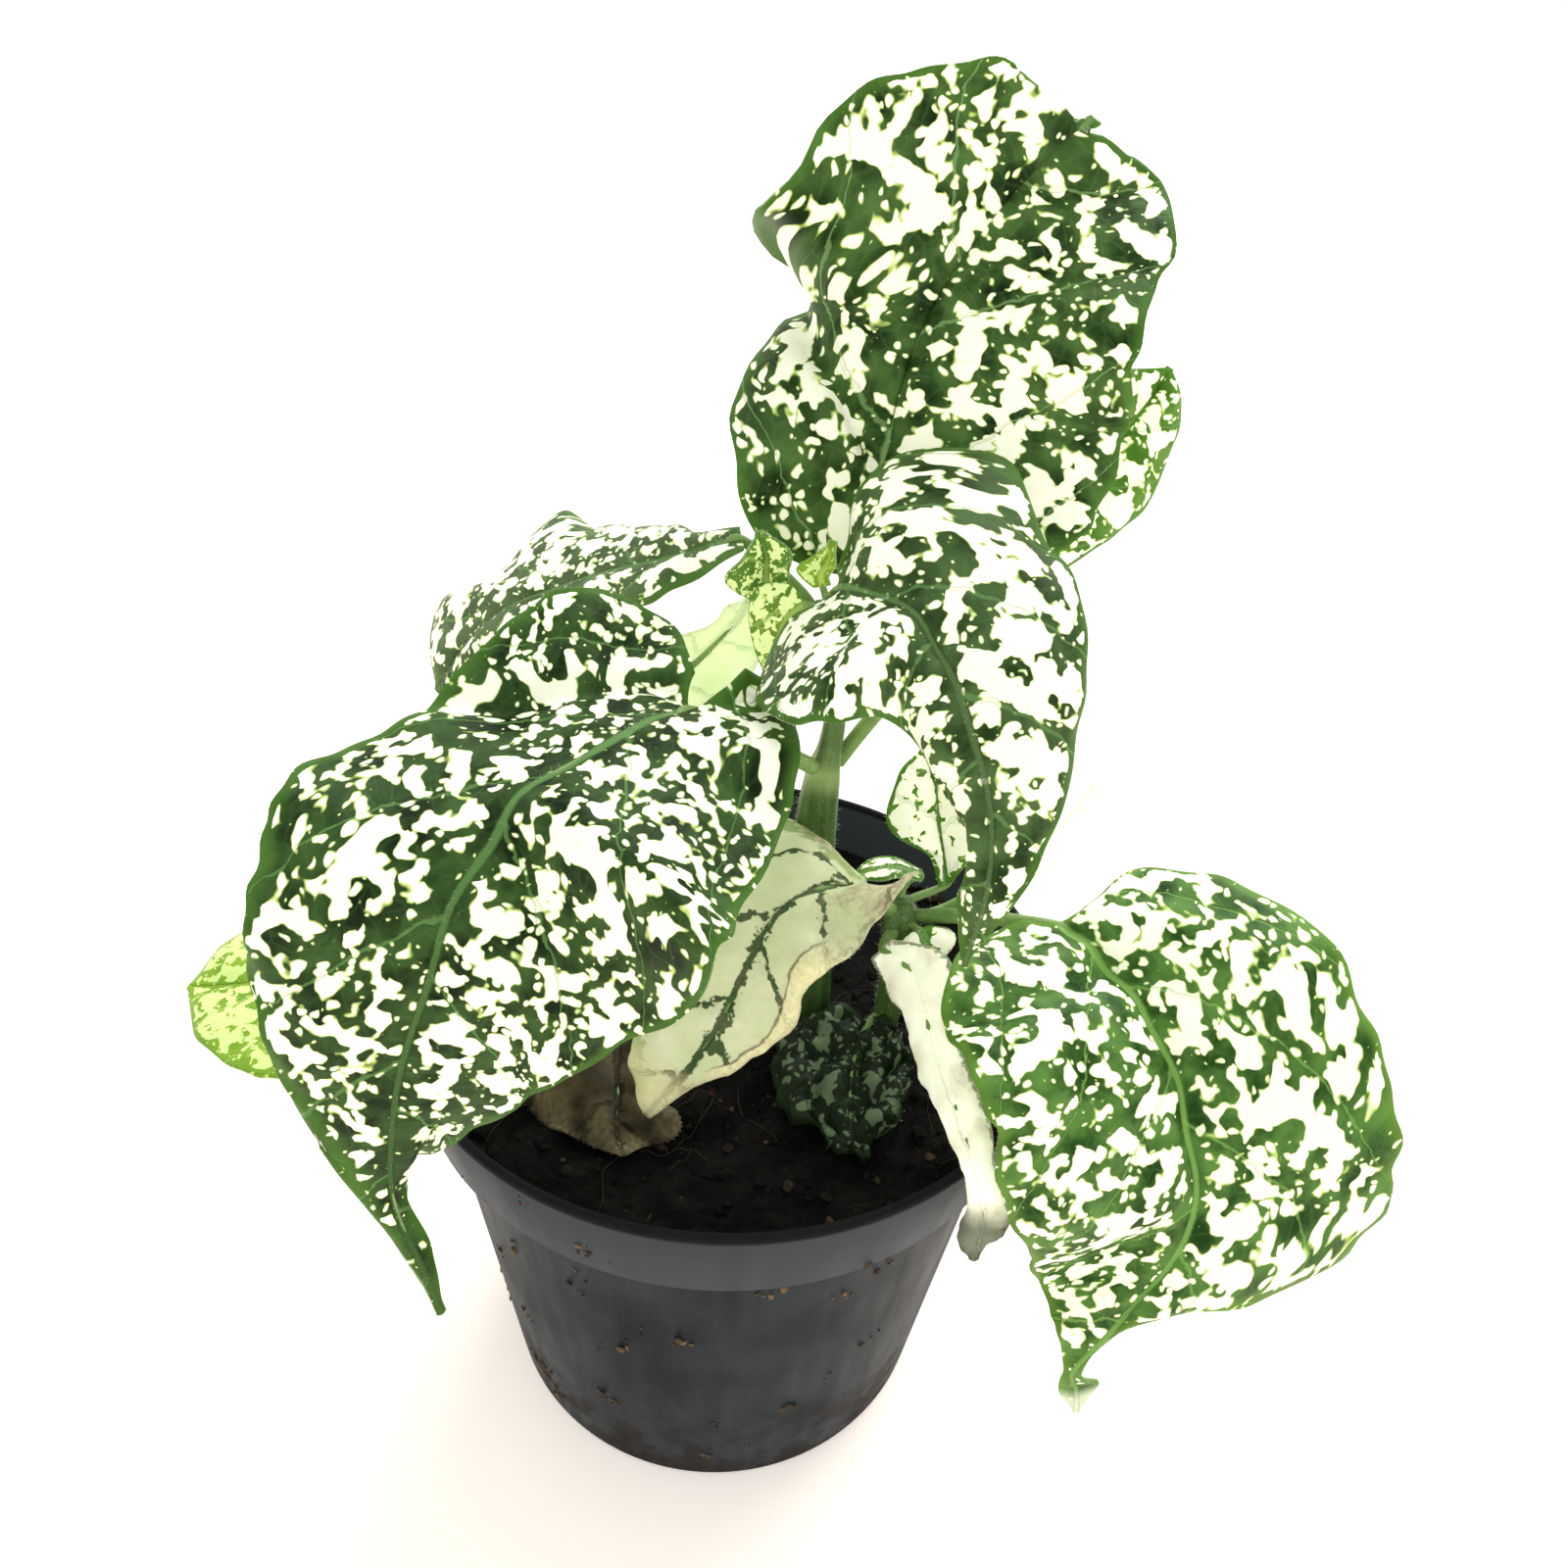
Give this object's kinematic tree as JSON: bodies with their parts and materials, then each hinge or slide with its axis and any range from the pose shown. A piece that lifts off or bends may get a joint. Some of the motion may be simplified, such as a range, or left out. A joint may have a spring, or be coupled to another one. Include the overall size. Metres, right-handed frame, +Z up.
{
  "type": "potted polka dot plant",
  "caption": "Small leafy houseplant with drooping green leaves splashed with white, standing upright in a tapered round plastic nursery pot filled with soil.",
  "frame": {"origin": "middle of the pot's underside, on the surface that it stands on", "axes": "+Z up along the pot's axis, +X to the viewer's right, +Y away from the viewer in front"},
  "size_m": [0.1532, 0.0955, 0.1826],
  "materials": {
    "pot_plastic": "dark charcoal, semi-matt moulded plastic",
    "soil": "moist dark peat with fibres and crumbs, rough",
    "stem": "soft light green stem, hairy",
    "leaf_green": "dark green leaf with irregular white spots, slightly satin",
    "leaf_pale": "cream to near-white leaf with green veins",
    "leaf_lime": "thin yellow-green leaf",
    "leaf_dry": "dried brown leaf"
  },
  "bodies": {
    "root": {"pot": "pot_plastic", "soil": "soil", "stem_main": "stem", "stem_side": "stem", "leaf_top": "leaf_green", "leaf_right_middle": "leaf_green", "leaf_left_front": "leaf_green", "leaf_left_back": "leaf_green", "leaf_right_front": "leaf_green", "leaf_right_back": "leaf_green", "leaf_left_low": "leaf_lime", "leaf_cream_front": "leaf_pale", "leaf_cream_side": "leaf_pale", "leaf_small_back": "leaf_pale", "leaf_small_flat": "leaf_pale", "leaf_small_cup": "leaf_pale", "leaf_pale_under": "leaf_pale", "leaf_tip_back": "leaf_green", "leaf_tip_hanging": "leaf_lime", "leaf_tip_yellow": "leaf_lime", "leaf_shade": "leaf_green", "leaf_brown_soil": "leaf_dry", "leaf_pale_right": "leaf_pale"}
  },
  "joints": []
}
